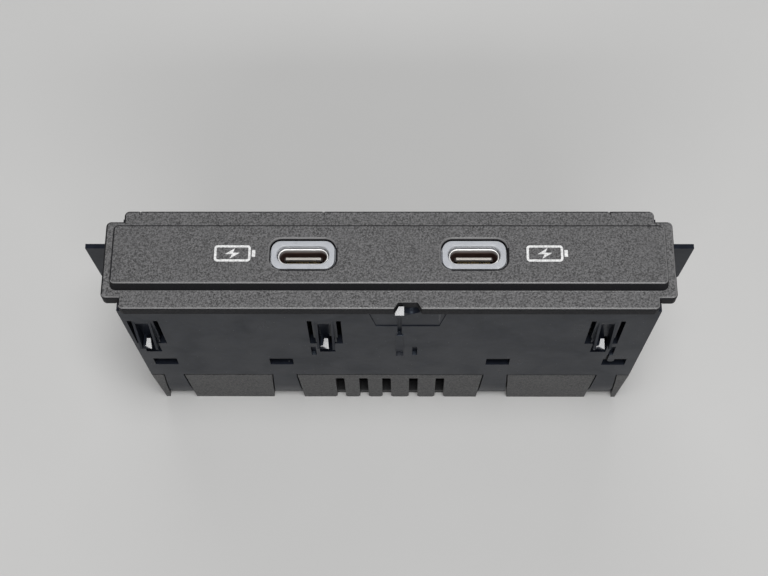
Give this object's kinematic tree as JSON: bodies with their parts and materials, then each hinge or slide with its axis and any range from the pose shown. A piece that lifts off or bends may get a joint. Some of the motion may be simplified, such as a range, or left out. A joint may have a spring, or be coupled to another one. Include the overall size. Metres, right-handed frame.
{
  "type": "usb receptacle",
  "caption": "Panel charging port module with a raised grained bezel, pale rings round steel ports, a snap-in housing with guide fins, and a rear harness header.",
  "frame": {"origin": "on the surface that the module stands on with its face up, below the middle of its box", "axes": "+X along the width, +Y from the front wall to the back wall, +Z out of the face"},
  "size_m": [0.1098, 0.0208, 0.0535],
  "materials": {
    "bezel_grain": "fine grained dark grey paint",
    "housing_black": "satin moulded black",
    "cover_black": "fine spark texture, black",
    "pale_ring": "pale translucent grey, smooth",
    "port_steel": "bright drawn sheet",
    "insulator_black": "moulded black",
    "contact_gold": "gold plated",
    "board_green": "satin lacquered laminate",
    "lamp_white": "clear cast lens",
    "chip_black": "moulded black",
    "coil_grey": "pressed powder, matt",
    "can_aluminium": "drawn can, satin",
    "capacitor_tan": "fired ceramic, matt"
  },
  "bodies": {
    "root": {"front_bezel": "bezel_grain", "housing": "housing_black", "rear_cover": "cover_black", "left_light_ring": "pale_ring", "right_light_ring": "pale_ring", "left_port_shell": "port_steel", "right_port_shell": "port_steel", "left_port_insulator": "insulator_black", "right_port_insulator": "insulator_black", "left_tongue_plate": "port_steel", "right_tongue_plate": "port_steel", "left_port_contacts": "contact_gold", "right_port_contacts": "contact_gold", "main_board": "board_green", "header_shroud": "insulator_black", "header_pins": "contact_gold", "port_lamps": "lamp_white", "hub_chip": "chip_black", "clock_crystal": "port_steel", "power_switches": "chip_black", "left_power_coil": "coil_grey", "right_power_coil": "coil_grey", "bulk_capacitors": "can_aluminium", "chip_capacitors": "capacitor_tan"}
  },
  "joints": []
}
